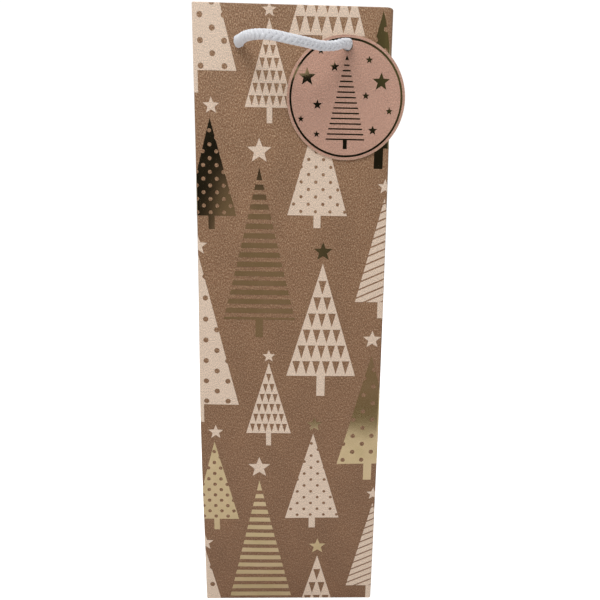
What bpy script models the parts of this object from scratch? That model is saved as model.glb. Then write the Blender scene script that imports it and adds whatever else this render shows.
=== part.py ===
"""A paper gift bag for one bottle: a folded kraft-paper sheet, its stiffening cards,
two knotted cord handles and a round gift tag.

Metres, +Z up. The origin is the middle of the base, on the surface the bag stands on.
The front panel faces -Y and +X is on the right of someone who looks at it.
"""

from math import cos, pi, sin

import bmesh
import bpy
from mathutils import Matrix, Vector

# The bag
BAG_WIDTH = 0.108
BAG_DEPTH = 0.090
BAG_HEIGHT = 0.360
PAPER = 0.0003
GAP = 0.0003  # between two layers, and between two panels at their fold
TURN_IN = 0.040  # the strip of the sheet that is folded over inside the mouth
SEAM_TAB_WIDTH = 0.015

# The base
FLAP_OVERLAP = 0.0076  # how far a glued flap reaches past the middle of the base
FLAP_TIP_WIDTH = 0.010
SIDE_FLAP_GAP = 0.004  # between the two side flaps, in the middle of the base
BASE_CARD = 0.0008
BASE_CARD_CLEARANCE = 0.0025  # from the bag's outer faces

# The handles
HANDLE_CARD = 0.0006
HANDLE_CARD_HEIGHT = 0.035
HANDLE_CARD_INSET = 0.002  # from the bag's side faces
CORD_DIAMETER = 0.005
HOLE_CLEARANCE = 0.0004
HOLE_SPACING = 0.058
HOLE_DROP = 0.020  # from the mouth's edge down to the holes
KNOT_DIAMETER = 0.012
KNOT_TAIL = 0.014

# The tag
TAG_DIAMETER = 0.0648
TAG_THICKNESS = 0.001
TAG_HOLE_RISE = 0.027  # from the tag's middle up to its hole
TAG_HOLE_CLEARANCE = 0.0005

# A handle's route from its left hole to its right one, as someone who faces it sees it:
# metres to the right, out from the pivot axis, and up from the holes.
HANDLE_ROUTE = (
    (-0.0290, 0.0000, 0.0000),
    (-0.0269, 0.0050, -0.0010),
    (-0.0243, 0.0115, -0.0019),
    (-0.0207, 0.0180, -0.0032),
    (-0.0157, 0.0240, -0.0047),
    (-0.0090, 0.0270, -0.0060),
    (-0.0009, 0.0255, -0.0069),
    (0.0070, 0.0205, -0.0067),
    (0.0143, 0.0145, -0.0061),
    (0.0212, 0.0090, -0.0042),
    (0.0259, 0.0045, -0.0016),
    (0.0290, 0.0000, 0.0000),
)
STEPS_PER_LEG = 4

# Worked out from the sizes above
HALF_WIDTH = BAG_WIDTH / 2
HALF_DEPTH = BAG_DEPTH / 2
LAYER = PAPER + GAP
PANEL_TOP = BAG_HEIGHT - LAYER
CORD_RADIUS = CORD_DIAMETER / 2
HOLE_RADIUS = CORD_RADIUS + HOLE_CLEARANCE
HOLE_HEIGHT = BAG_HEIGHT - HOLE_DROP
CARD_FACE = HALF_DEPTH - LAYER  # the handle card's outer face
TURN_IN_FACE = CARD_FACE - HANDLE_CARD - GAP  # the turn-in's outer face
INNER_FACE = TURN_IN_FACE - PAPER
STUB_END = HALF_DEPTH + GAP + TAG_THICKNESS + GAP  # just past the tag
PIVOT_OUT = STUB_END + GAP + CORD_RADIUS
SIDE_FLAP_FLOOR = 2 * LAYER
BASE_CARD_FLOOR = 3 * LAYER
FLAP_TIP = FLAP_OVERLAP + HALF_DEPTH - LAYER  # a glued flap's length


def clear_scene():
    for thing in list(bpy.data.objects):
        bpy.data.objects.remove(thing, do_unlink=True)


def plain_material(name, colour, roughness):
    """A Principled BSDF with one colour, as seen from all sides."""
    material = bpy.data.materials.new(name)
    material.use_nodes = True
    shader = material.node_tree.nodes["Principled BSDF"]
    shader.inputs["Base Color"].default_value = (*colour, 1.0)
    shader.inputs["Roughness"].default_value = roughness
    shader.inputs["Metallic"].default_value = 0.0
    material.diffuse_color = (*colour, 1.0)
    return material


def mesh_data(name, bm, material):
    """A mesh made from a bmesh, with its faces pointing out."""
    bmesh.ops.recalc_face_normals(bm, faces=bm.faces)
    mesh = bpy.data.meshes.new(name)
    bm.to_mesh(mesh)
    bm.free()
    mesh.materials.append(material)
    return mesh


def add_object(name, data, location=(0, 0, 0), turn=0.0):
    """A named object at a place, turned about Z."""
    thing = bpy.data.objects.new(name, data)
    thing.location = location
    thing.rotation_euler = (0, 0, turn)
    bpy.context.scene.collection.objects.link(thing)
    return thing


def add_guide(name, data, location=(0, 0, 0), turn=0.0):
    """An object that only shapes others."""
    guide = add_object(name, data, location, turn)
    guide.hide_render = True
    guide.display_type = "WIRE"
    return guide


def boolean(thing, operation, other):
    change = thing.modifiers.new(other.name, "BOOLEAN")
    change.operation = operation
    change.solver = "EXACT"
    change.object = other


def add_mesh(name, bm, material, location=(0, 0, 0)):
    return add_object(name, mesh_data(name, bm, material), location)


def box(low, high):
    """A bmesh box between two corners."""
    bm = bmesh.new()
    size = [b - a for a, b in zip(low, high)]
    middle = [(a + b) / 2 for a, b in zip(low, high)]
    place = Matrix.Translation(middle) @ Matrix.Diagonal((*size, 1))
    bmesh.ops.create_cube(bm, size=1.0, matrix=place)
    return bm


def prism(outline, along):
    """A bmesh solid: a flat outline of points, extruded along a vector."""
    bm = bmesh.new()
    face = bm.faces.new([bm.verts.new(p) for p in outline])
    grown = bmesh.ops.extrude_face_region(bm, geom=[face])
    moved = [v for v in grown["geom"] if isinstance(v, bmesh.types.BMVert)]
    bmesh.ops.translate(bm, verts=moved, vec=along)
    return bm


def plate(name, low, high, material):
    return add_mesh(name, box(low, high), material)


def hole_cutter(name, x):
    """A rod that runs right through the bag, front to back, where a cord passes."""
    bm = bmesh.new()
    bmesh.ops.create_cone(
        bm,
        cap_ends=True,
        segments=32,
        radius1=HOLE_RADIUS,
        radius2=HOLE_RADIUS,
        depth=BAG_DEPTH * 1.2,
        matrix=Matrix.Translation((x, 0, HOLE_HEIGHT)) @ Matrix.Rotation(pi / 2, 4, "X"),
    )
    return add_guide(name, mesh_data(name, bm, cutter_look))


def punch(thing):
    """Cut both cord holes through a piece."""
    for cutter in cutters:
        boolean(thing, "DIFFERENCE", cutter)


def wall_pieces():
    """The sheet's printed panels: front, back, and each side in two halves at its crease."""
    for name, side in (("front_panel", -1), ("back_panel", 1)):
        faces = sorted((side * HALF_DEPTH, side * (HALF_DEPTH - PAPER)))
        panel = plate(
            name,
            (-HALF_WIDTH, faces[0], 0),
            (HALF_WIDTH, faces[1], PANEL_TOP),
            kraft,
        )
        punch(panel)
    for side_name, side in (("left", -1), ("right", 1)):
        faces = sorted((side * HALF_WIDTH, side * (HALF_WIDTH - PAPER)))
        for half_name, half in (("front", -1), ("rear", 1)):
            ends = sorted((half * CARD_FACE, half * GAP / 2))
            plate(
                f"{side_name}_gusset_{half_name}",
                (faces[0], ends[0], 0),
                (faces[1], ends[1], PANEL_TOP),
                kraft,
            )


def seam_tab():
    """The strip that closes the sheet into a tube, glued inside the back panel."""
    plate(
        "seam_tab",
        (-HALF_WIDTH + LAYER, CARD_FACE - PAPER, BASE_CARD_FLOOR),
        (-HALF_WIDTH + LAYER + SEAM_TAB_WIDTH, CARD_FACE, BAG_HEIGHT - TURN_IN - GAP),
        kraft,
    )


def turn_ins():
    """The top strip of the sheet, folded over the mouth's edge and down inside."""
    for name, side in (("front_turn_in", -1), ("back_turn_in", 1)):
        profile = (
            (HALF_DEPTH, BAG_HEIGHT - PAPER),
            (HALF_DEPTH, BAG_HEIGHT),
            (INNER_FACE, BAG_HEIGHT),
            (INNER_FACE, BAG_HEIGHT - TURN_IN),
            (TURN_IN_FACE, BAG_HEIGHT - TURN_IN),
            (TURN_IN_FACE, BAG_HEIGHT - PAPER),
        )
        start = -HALF_WIDTH + LAYER
        outline = [(start, side * y, z) for y, z in profile]
        punch(add_mesh(name, prism(outline, (-2 * start, 0, 0)), kraft))
    for name, side in (("left_turn_in", -1), ("right_turn_in", 1)):
        outer = HALF_WIDTH - LAYER
        profile = (
            (HALF_WIDTH, BAG_HEIGHT - PAPER),
            (HALF_WIDTH, BAG_HEIGHT),
            (outer - PAPER, BAG_HEIGHT),
            (outer - PAPER, BAG_HEIGHT - TURN_IN),
            (outer, BAG_HEIGHT - TURN_IN),
            (outer, BAG_HEIGHT - PAPER),
        )
        start = -INNER_FACE + GAP
        outline = [(side * x, start, z) for x, z in profile]
        add_mesh(name, prism(outline, (0, -2 * start, 0)), kraft)


def handle_cards():
    """A card strip between the panel and its turn-in, so the cord doesn't tear out."""
    for name, side in (("front_handle_card", -1), ("back_handle_card", 1)):
        faces = sorted((side * CARD_FACE, side * (CARD_FACE - HANDLE_CARD)))
        reach = HALF_WIDTH - HANDLE_CARD_INSET
        card = plate(
            name,
            (-reach, faces[0], PANEL_TOP - HANDLE_CARD_HEIGHT),
            (reach, faces[1], PANEL_TOP),
            grey_board,
        )
        punch(card)


def bottom_flaps():
    """The bottom of the sheet: the sides fold in first, then the front, then the back."""
    side_reach = HALF_WIDTH - LAYER
    for name, side in (("bottom_flap_left", -1), ("bottom_flap_right", 1)):
        ends = sorted((side * side_reach, side * SIDE_FLAP_GAP / 2))
        plate(
            name,
            (ends[0], -CARD_FACE, SIDE_FLAP_FLOOR),
            (ends[1], CARD_FACE, SIDE_FLAP_FLOOR + PAPER),
            kraft,
        )
    for name, side, floor in (("bottom_flap_front", -1, LAYER), ("bottom_flap_back", 1, 0.0)):
        fold, tip = side * CARD_FACE, side * (CARD_FACE - FLAP_TIP)
        outline = (
            (-side_reach, fold, floor),
            (side_reach, fold, floor),
            (FLAP_TIP_WIDTH / 2, tip, floor),
            (-FLAP_TIP_WIDTH / 2, tip, floor),
        )
        add_mesh(name, prism(outline, (0, 0, PAPER)), kraft)


def base_card():
    """The loose card that lies on the flaps and carries the bottle."""
    reach_x = HALF_WIDTH - BASE_CARD_CLEARANCE
    reach_y = HALF_DEPTH - BASE_CARD_CLEARANCE
    bm = box((-reach_x, -reach_y, 0), (reach_x, reach_y, BASE_CARD))
    add_mesh("base_card", bm, grey_board, location=(0, 0, BASE_CARD_FLOOR))


def knot_mesh():
    """One end of a cord about the hole's axis, with +Y going into the bag: a stub
    through the hole, the knot behind it and its tail hanging down."""
    radius = KNOT_DIAMETER / 2
    knot_back = -INNER_FACE + GAP
    # The knot's ball meets the stub where the ball's cross-section is as wide as the cord.
    ball_depth = (radius**2 - CORD_RADIUS**2) ** 0.5
    middle = knot_back + ball_depth
    arcs = 8
    first = pi - Vector((ball_depth, CORD_RADIUS)).angle(Vector((1, 0)))
    profile = [(-STUB_END, 0.0), (-STUB_END, CORD_RADIUS)]
    for step in range(arcs + 1):
        angle = first * (1 - step / arcs)
        profile.append((middle + radius * cos(angle), radius * sin(angle)))
    bm = bmesh.new()
    ring = [bm.verts.new((0, along, out)) for along, out in profile]
    edges = [bm.edges.new(pair) for pair in zip(ring, ring[1:])]
    bmesh.ops.spin(
        bm,
        geom=ring + edges,
        cent=(0, 0, 0),
        axis=(0, 1, 0),
        angle=2 * pi,
        steps=16,
        use_merge=True,
    )
    bmesh.ops.remove_doubles(bm, verts=bm.verts, dist=1e-6)
    return bm, middle


def tail_mesh(middle):
    """A cord end's tail, hanging from the middle of its knot."""
    bm = bmesh.new()
    bmesh.ops.create_cone(
        bm,
        cap_ends=True,
        segments=12,
        radius1=CORD_RADIUS,
        radius2=CORD_RADIUS,
        depth=KNOT_TAIL,
        matrix=Matrix.Translation((0, middle, -KNOT_TAIL / 2 - KNOT_DIAMETER / 4)),
    )
    return bm


def knots():
    """The four knotted cord ends, inside the bag behind their holes."""
    bm, middle = knot_mesh()
    knot = mesh_data("knot", bm, white_cord)
    tail = mesh_data("tail", tail_mesh(middle), white_cord)
    places = (
        ("front_left_knot", -1, 0.0),
        ("front_right_knot", 1, 0.0),
        ("back_left_knot", -1, pi),
        ("back_right_knot", 1, pi),
    )
    for name, side, turn in places:
        place = (side * HOLE_SPACING / 2, 0, HOLE_HEIGHT)
        whole = add_object(name, knot, place, turn)
        joined = add_guide(f"{name}_tail", tail, place, turn)
        boolean(whole, "UNION", joined)


def smooth_points(route):
    """Points along a smooth curve through the route's own points."""
    points = [Vector(p) for p in route]
    ends = [points[0] * 2 - points[1], *points, points[-1] * 2 - points[-2]]
    smooth = []
    for a, b, c, d in zip(ends, ends[1:], ends[2:], ends[3:]):
        for step in range(STEPS_PER_LEG):
            t = step / STEPS_PER_LEG
            smooth.append(
                (
                    2 * b
                    + (c - a) * t
                    + (2 * a - 5 * b + 4 * c - d) * t**2
                    + (3 * b - a - 3 * c + d) * t**3
                )
                / 2
            )
    return [*smooth, points[-1]]


def handle(name, side):
    """A handle's free loop. Its rounded ends turn on the pivot axis, on the stubs' ends."""
    line = [(p.x, -p.y, p.z) for p in smooth_points(HANDLE_ROUTE)]
    caps = [pi / 2 * step / 4 for step in range(4, 0, -1)]
    start, end = line[0], line[-1]
    first = [((start[0], start[1] + CORD_RADIUS * sin(a), start[2]), cos(a)) for a in caps]
    last = [((end[0], end[1] + CORD_RADIUS * sin(a), end[2]), cos(a)) for a in reversed(caps)]
    beads = first + [(p, 1.0) for p in line] + last
    curve = bpy.data.curves.new(name, "CURVE")
    curve.dimensions = "3D"
    curve.bevel_depth = CORD_RADIUS
    curve.bevel_resolution = 2
    curve.use_fill_caps = True
    spline = curve.splines.new("POLY")
    spline.points.add(len(beads) - 1)
    for point, (place, width) in zip(spline.points, beads):
        point.co = (*place, 1.0)
        point.radius = max(width, 0.1)
    curve.materials.append(white_cord)
    turn = 0.0 if side < 0 else pi
    add_object(name, curve, (0, side * PIVOT_OUT, HOLE_HEIGHT), turn)


def gift_tag():
    """A round card tag strung on the front handle. Its origin is the middle of its hole."""
    bm = bmesh.new()
    upright = Matrix.Rotation(pi / 2, 4, "X")
    bmesh.ops.create_cone(
        bm,
        cap_ends=True,
        segments=72,
        radius1=TAG_DIAMETER / 2,
        radius2=TAG_DIAMETER / 2,
        depth=TAG_THICKNESS,
        matrix=Matrix.Translation((0, 0, -TAG_HOLE_RISE)) @ upright,
    )
    middle = -(HALF_DEPTH + GAP + TAG_THICKNESS / 2)
    tag = add_mesh("gift_tag", bm, tag_card, location=(HOLE_SPACING / 2, middle, HOLE_HEIGHT))
    hole = bmesh.new()
    radius = CORD_RADIUS + TAG_HOLE_CLEARANCE
    bmesh.ops.create_cone(
        hole,
        cap_ends=True,
        segments=32,
        radius1=radius,
        radius2=radius,
        depth=TAG_THICKNESS * 4,
        matrix=upright,
    )
    cutter = add_guide("tag_hole_cutter", mesh_data("tag_hole", hole, cutter_look), tag.location)
    boolean(tag, "DIFFERENCE", cutter)


clear_scene()
kraft = plain_material("kraft paper", (0.30, 0.185, 0.11), 0.75)
grey_board = plain_material("grey board", (0.42, 0.40, 0.36), 0.85)
white_cord = plain_material("white cord", (0.70, 0.70, 0.74), 0.8)
tag_card = plain_material("tag card", (0.45, 0.24, 0.16), 0.7)
cutter_look = plain_material("cutter", (0.8, 0.1, 0.1), 0.5)
cutters = [
    hole_cutter("left_hole_cutter", -HOLE_SPACING / 2),
    hole_cutter("right_hole_cutter", HOLE_SPACING / 2),
]
wall_pieces()
seam_tab()
turn_ins()
handle_cards()
bottom_flaps()
base_card()
knots()
handle("front_handle_cord", -1)
handle("back_handle_cord", 1)
gift_tag()
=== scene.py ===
# %% [markdown]
# # A printed kraft gift bag for one bottle
#
# The bag is one sheet of kraft paper, printed, folded and glued, with a braided cord handle at the
# front and the back, a round tag on the front cord, and a loose card in the base. This lesson
# builds each of those as its maker would: the sheet is laid out flat, its ink is laid on while it
# is flat, and one function then folds sheet and ink together.
#
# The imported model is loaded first. It is the frame that every piece is placed in.

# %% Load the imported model
import math

import bmesh
import bpy
from mathutils import Matrix, Vector


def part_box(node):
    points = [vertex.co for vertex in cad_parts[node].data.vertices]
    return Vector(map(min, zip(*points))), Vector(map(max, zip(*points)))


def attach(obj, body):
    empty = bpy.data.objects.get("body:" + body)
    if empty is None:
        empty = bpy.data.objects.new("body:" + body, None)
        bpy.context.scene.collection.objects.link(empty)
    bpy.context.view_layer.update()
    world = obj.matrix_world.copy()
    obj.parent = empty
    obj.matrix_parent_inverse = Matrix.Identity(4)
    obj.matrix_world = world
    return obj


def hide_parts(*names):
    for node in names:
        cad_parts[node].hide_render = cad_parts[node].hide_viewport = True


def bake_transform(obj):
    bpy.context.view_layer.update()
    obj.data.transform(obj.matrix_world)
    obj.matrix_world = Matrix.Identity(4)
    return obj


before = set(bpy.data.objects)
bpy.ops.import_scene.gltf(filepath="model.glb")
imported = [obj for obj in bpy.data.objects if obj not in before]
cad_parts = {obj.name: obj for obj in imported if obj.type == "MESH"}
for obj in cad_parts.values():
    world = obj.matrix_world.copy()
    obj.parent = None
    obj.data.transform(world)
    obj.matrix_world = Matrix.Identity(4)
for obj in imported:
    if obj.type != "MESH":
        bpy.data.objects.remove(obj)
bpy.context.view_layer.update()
MM = 0.001

# %% [markdown]
# ## The camera
#
# The bag stands close to the lens, which is a little above its middle and looks down by ten
# degrees. A short lens near the object makes the top wider than the base. The small shift keeps
# the bag in the middle of the frame, as a view camera would.

# %% Camera
CAMERA_PLACE = Vector((0.0067, -0.3296, 0.2493))
CAMERA_TILT = math.radians(79.56)
CAMERA_ROLL = math.radians(0.98)
CAMERA_YAW = math.radians(-1.59)

lens = bpy.data.cameras.new("camera")
lens.sensor_width = 36.0
lens.lens = 29.36
lens.shift_x = -0.0267
lens.shift_y = 0.0112
lens.clip_start = 0.01
camera = bpy.data.objects.new("camera", lens)
bpy.context.scene.collection.objects.link(camera)
camera.matrix_world = (
    Matrix.Translation(CAMERA_PLACE)
    @ Matrix.Rotation(CAMERA_YAW, 4, "Z")
    @ Matrix.Rotation(CAMERA_TILT, 4, "X")
    @ Matrix.Rotation(CAMERA_ROLL, 4, "Z")
)
bpy.context.scene.camera = camera
print("lens", lens.lens, "mm, height", CAMERA_PLACE.z)


# %% [markdown]
# ## Helpers for every piece
#
# A finished piece's object stays at the origin and its place is in its mesh. These two helpers
# close a bmesh into such an object, and shade it smooth with edges kept crisp past an angle.

# %% Helpers
def whole(bm):
    """Everything in a bmesh, as its operators take it."""
    return bm.verts[:] + bm.edges[:] + bm.faces[:]


def finish_piece(name, bm, materials, crisp=35.0):
    """Makes a named object of a bmesh, shaded smooth except over edges sharper than crisp degrees."""
    for face in bm.faces:
        face.smooth = True
    for edge in bm.edges:
        if edge.is_manifold and edge.calc_face_angle(0.0) > math.radians(crisp):
            edge.smooth = False
    mesh = bpy.data.meshes.new(name)
    bm.to_mesh(mesh)
    bm.free()
    for material in materials:
        mesh.materials.append(material)
    piece = bpy.data.objects.new(name, mesh)
    bpy.context.scene.collection.objects.link(piece)
    print(name, len(mesh.vertices), "vertices,", len(mesh.polygons), "faces")
    return piece


def smooth_step(low, high, value):
    """0 below low, 1 above high, and an even rise between them."""
    t = max(0.0, min(1.0, (value - low) / (high - low)))
    return t * t * (3.0 - 2.0 * t)


def hump(value, middle, spread):
    """1 at the middle, falling away on both sides over the spread."""
    return math.exp(-0.5 * ((value - middle) / spread) ** 2)


# %% [markdown]
# ## Paper fibres, one effect for every paper
#
# Kraft paper is brown because its long fibres are unbleached. Close up it is a felt of short pale
# flecks that lie mostly along the web, on a ground that is a little cloudy. The ground could be a
# photograph of paper, but noise stretched along the web gives the same look at any size. Printed
# kraft, plain kraft, board and the tag all need it, so it is a node group with its own inputs.

# %% A small set of node helpers
def add_node(tree, kind, **values):
    """Adds a node and sets its properties, or its inputs when the name is a socket's."""
    node = tree.nodes.new(kind)
    for key, value in values.items():
        if hasattr(node, key):
            setattr(node, key, value)
        else:
            node.inputs[key.replace("_", " ")].default_value = value
    return node


def stretched_noise(tree, place, stretch, detail=2.0, turn=0.0):
    """Noise on a place in metres, with that many grains to the metre each way."""
    mapping = add_node(tree, "ShaderNodeMapping", Scale=stretch)
    mapping.inputs["Rotation"].default_value = (0.0, 0.0, turn)
    tree.links.new(place, mapping.inputs["Vector"])
    noise = add_node(tree, "ShaderNodeTexNoise", Scale=1.0, Detail=detail)
    tree.links.new(mapping.outputs["Vector"], noise.inputs["Vector"])
    return noise.outputs["Fac"]


def ramp(tree, value, low, high, to_low=0.0, to_high=1.0):
    """Stretches a value so that low to high becomes to_low to to_high, and no further."""
    node = add_node(tree, "ShaderNodeMapRange")
    node.inputs["From Min"].default_value = low
    node.inputs["From Max"].default_value = high
    node.inputs["To Min"].default_value = to_low
    node.inputs["To Max"].default_value = to_high
    tree.links.new(value, node.inputs["Value"])
    return node.outputs["Result"]


def math_node(tree, operation, first, second):
    """One sum on two values, each a socket or a number."""
    node = add_node(tree, "ShaderNodeMath", operation=operation)
    for socket, value in zip(node.inputs, (first, second)):
        if isinstance(value, (int, float)):
            socket.default_value = value
        else:
            tree.links.new(value, socket)
    return node.outputs["Value"]


def mix_colour(tree, factor, first, second, blend="MIX"):
    """Mixes two colours, each a socket or a colour."""
    node = add_node(tree, "ShaderNodeMix", data_type="RGBA", blend_type=blend)
    if isinstance(factor, (int, float)):
        node.inputs["Factor"].default_value = factor
    else:
        tree.links.new(factor, node.inputs["Factor"])
    for name, value in (("A", first), ("B", second)):
        socket = [s for s in node.inputs if s.name == name and s.type == "RGBA"][0]
        if isinstance(value, tuple):
            socket.default_value = value
        else:
            tree.links.new(value, socket)
    return [s for s in node.outputs if s.type == "RGBA"][0]


def group_with(name, inputs, outputs):
    """An empty node group with named sockets, and its two end nodes."""
    tree = bpy.data.node_groups.new(name, "ShaderNodeTree")
    for socket_name, kind, value in inputs:
        socket = tree.interface.new_socket(socket_name, in_out="INPUT", socket_type=kind)
        if value is not None:
            socket.default_value = value
    for socket_name, kind in outputs:
        tree.interface.new_socket(socket_name, in_out="OUTPUT", socket_type=kind)
    return tree, tree.nodes.new("NodeGroupInput"), tree.nodes.new("NodeGroupOutput")


# %% The paper fibre group
fibres, fibres_in, fibres_out = group_with(
    "paper fibres",
    (
        ("Place", "NodeSocketVector", None),
        ("Ground", "NodeSocketColor", (0.3, 0.18, 0.1, 1.0)),
        ("Fleck", "NodeSocketColor", (0.45, 0.3, 0.2, 1.0)),
        ("Fleck Amount", "NodeSocketFloat", 0.6),
        ("Cloud Amount", "NodeSocketFloat", 0.1),
        ("Speck Amount", "NodeSocketFloat", 0.0),
    ),
    (("Colour", "NodeSocketColor"), ("Height", "NodeSocketFloat")),
)
fibre_place = fibres_in.outputs["Place"]
long_noise = stretched_noise(fibres, fibre_place, (1900, 1000, 900), 2.0, 0.08)
cross_noise = stretched_noise(fibres, fibre_place, (1700, 1300, 900), 1.5, -0.45)
long_flecks = ramp(fibres, long_noise, 0.43, 0.72)
cross_flecks = ramp(fibres, cross_noise, 0.50, 0.74)
fine_grain = stretched_noise(fibres, fibre_place, (2600, 1500, 1800), 2.0)
clouds = stretched_noise(fibres, fibre_place, (55, 32, 40), 3.0)
specks = ramp(fibres, stretched_noise(fibres, fibre_place, (900, 1050, 900), 0.0), 0.74, 0.78)
flecks = math_node(fibres, "MAXIMUM", long_flecks, math_node(fibres, "MULTIPLY", cross_flecks, 0.55))
fleck_mask = math_node(fibres, "MULTIPLY", flecks, fibres_in.outputs["Fleck Amount"])
cloud_shift = math_node(
    fibres, "MULTIPLY", ramp(fibres, clouds, 0.3, 0.7, -1.0, 1.0), fibres_in.outputs["Cloud Amount"]
)
grain_shift = ramp(fibres, fine_grain, 0.34, 0.66, -0.30, 0.30)
brightness = math_node(fibres, "ADD", 1.0, math_node(fibres, "ADD", cloud_shift, grain_shift))
flecked = mix_colour(fibres, fleck_mask, fibres_in.outputs["Ground"], fibres_in.outputs["Fleck"])
shaded = add_node(fibres, "ShaderNodeVectorMath", operation="SCALE")
fibres.links.new(flecked, shaded.inputs[0])
fibres.links.new(brightness, shaded.inputs["Scale"])
speck_mask = math_node(fibres, "MULTIPLY", specks, fibres_in.outputs["Speck Amount"])
specked = mix_colour(fibres, speck_mask, shaded.outputs["Vector"], (0.05, 0.03, 0.02, 1.0))
fibres.links.new(specked, fibres_out.inputs["Colour"])
height = math_node(fibres, "ADD", flecks, fine_grain)
fibres.links.new(height, fibres_out.inputs["Height"])
print("paper fibre group with", len(fibres.nodes), "nodes")


# %% [markdown]
# ## Papers, inks and foil
#
# The kraft is matt. The cream ink is opaque and lies flat, with a trace of the fibres under it. The
# foil is real metal film, so it is a metallic finish that mirrors the room with a soft blur, and
# the slight tooth of the paper under it breaks up the reflection. Each finish reads the place on
# the flat sheet, which every vertex carries, so the grain follows the paper round its folds.

# %% Paper materials
def sheet_place(tree):
    """The place on the flat sheet that a vertex carries, in metres."""
    return add_node(tree, "ShaderNodeAttribute", attribute_name="sheet").outputs["Vector"]


def object_place(tree):
    """The place in the object, in metres."""
    return add_node(tree, "ShaderNodeTexCoord").outputs["Object"]


def paper(name, ground, fleck, fleck_amount, cloud, speck, roughness, bump, place=sheet_place):
    """A matt paper or board with its fibres."""
    material = bpy.data.materials.new(name)
    material.use_nodes = True
    tree = material.node_tree
    shader = tree.nodes["Principled BSDF"]
    grain = add_node(tree, "ShaderNodeGroup", node_tree=fibres)
    tree.links.new(place(tree), grain.inputs["Place"])
    grain.inputs["Ground"].default_value = (*ground, 1.0)
    grain.inputs["Fleck"].default_value = (*fleck, 1.0)
    grain.inputs["Fleck Amount"].default_value = fleck_amount
    grain.inputs["Cloud Amount"].default_value = cloud
    grain.inputs["Speck Amount"].default_value = speck
    tree.links.new(grain.outputs["Colour"], shader.inputs["Base Color"])
    relief = add_node(tree, "ShaderNodeBump", Strength=bump, Distance=0.00005)
    tree.links.new(grain.outputs["Height"], relief.inputs["Height"])
    tree.links.new(relief.outputs["Normal"], shader.inputs["Normal"])
    shader.inputs["Roughness"].default_value = roughness
    shader.inputs["Specular IOR Level"].default_value = 0.3
    return material


PRINTED_KRAFT = paper(
    "printed kraft", (0.200, 0.093, 0.044), (0.56, 0.375, 0.225), 0.60, 0.07, 0.0, 0.50, 1.0
)
PLAIN_KRAFT = paper("plain kraft", (0.33, 0.20, 0.12), (0.5, 0.36, 0.25), 0.5, 0.08, 0.15, 0.8, 0.6)
CREAM_INK = paper("cream ink", (0.72, 0.555, 0.425), (0.78, 0.63, 0.50), 0.3, 0.02, 0.0, 0.5, 0.25)
GREY_BOARD = paper(
    "grey board", (0.30, 0.28, 0.25), (0.45, 0.42, 0.38), 0.5, 0.1, 0.35, 0.85, 0.8, object_place
)
TAG_CARD = paper("tag card", (0.485, 0.268, 0.192), (0.66, 0.45, 0.35), 0.42, 0.05, 0.35, 0.6, 0.4)
TAG_EDGE = paper("tag cut edge", (0.62, 0.43, 0.30), (0.72, 0.55, 0.42), 0.5, 0.05, 0.2, 0.8, 0.5)


# %% [markdown]
# ## Painted light up the sheet
#
# The kraft is painted a little darker and redder at the base and lighter towards the mouth, which is
# shade and light from the lamps painted into its colour. Its pale fibres are painted to stand out
# more towards the mouth as a painted sheen. One slow ramp on the height up the sheet drives both the
# ground colour and the strength of the flecks.

# %% Painted light up the sheet
kraft_tree = PRINTED_KRAFT.node_tree
kraft_grain = [node for node in kraft_tree.nodes if node.type == "GROUP"][0]
height_up = add_node(kraft_tree, "ShaderNodeSeparateXYZ")
kraft_tree.links.new(sheet_place(kraft_tree), height_up.inputs[0])
# Painted light and sheen: the kraft is painted lighter, with stronger flecks, higher up the sheet.
painted_light_by_height = ramp(kraft_tree, height_up.outputs["Y"], 0.0, 0.34)
kraft_tree.links.new(
    mix_colour(kraft_tree, painted_light_by_height, (0.176, 0.079, 0.037, 1.0), (0.224, 0.107, 0.051, 1.0)),
    kraft_grain.inputs["Ground"],
)
kraft_tree.links.new(
    ramp(kraft_tree, painted_light_by_height, 0.0, 1.0, 0.46, 0.92), kraft_grain.inputs["Fleck Amount"]
)
print("kraft drifts from base to mouth")


# %% Gold foil
def foil(name, colour, roughness, bump):
    """Metal film on paper, with the paper's tooth and a few dull patches."""
    material = bpy.data.materials.new(name)
    material.use_nodes = True
    tree = material.node_tree
    shader = tree.nodes["Principled BSDF"]
    place = sheet_place(tree)
    patches = stretched_noise(tree, place, (60, 60, 60), 3.0)
    tooth = stretched_noise(tree, place, (900, 600, 700), 2.0)
    tree.links.new(mix_colour(tree, ramp(tree, patches, 0.35, 0.65), (*colour, 1.0),
                              (colour[0] * 0.9, colour[1] * 0.92, colour[2] * 0.85, 1.0)),
                   shader.inputs["Base Color"])
    tree.links.new(ramp(tree, patches, 0.3, 0.7, roughness * 0.85, roughness * 1.25),
                   shader.inputs["Roughness"])
    relief = add_node(tree, "ShaderNodeBump", Strength=bump, Distance=0.00005)
    tree.links.new(tooth, relief.inputs["Height"])
    tree.links.new(relief.outputs["Normal"], shader.inputs["Normal"])
    shader.inputs["Metallic"].default_value = 1.0
    return material


GOLD_FOIL = foil("gold foil", (0.63, 0.48, 0.29), 0.14, 0.10)
TAG_FOIL = foil("tag foil", (0.60, 0.50, 0.29), 0.12, 0.08)
print("papers and foils", [m.name for m in bpy.data.materials])


# %% [markdown]
# ## Braided cord finish
#
# The cord is braided from soft white polyester. Its strands are modelled, so the material adds only
# the filaments in each strand and the soft rim of light that fuzz gives, with the sheen socket.

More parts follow.
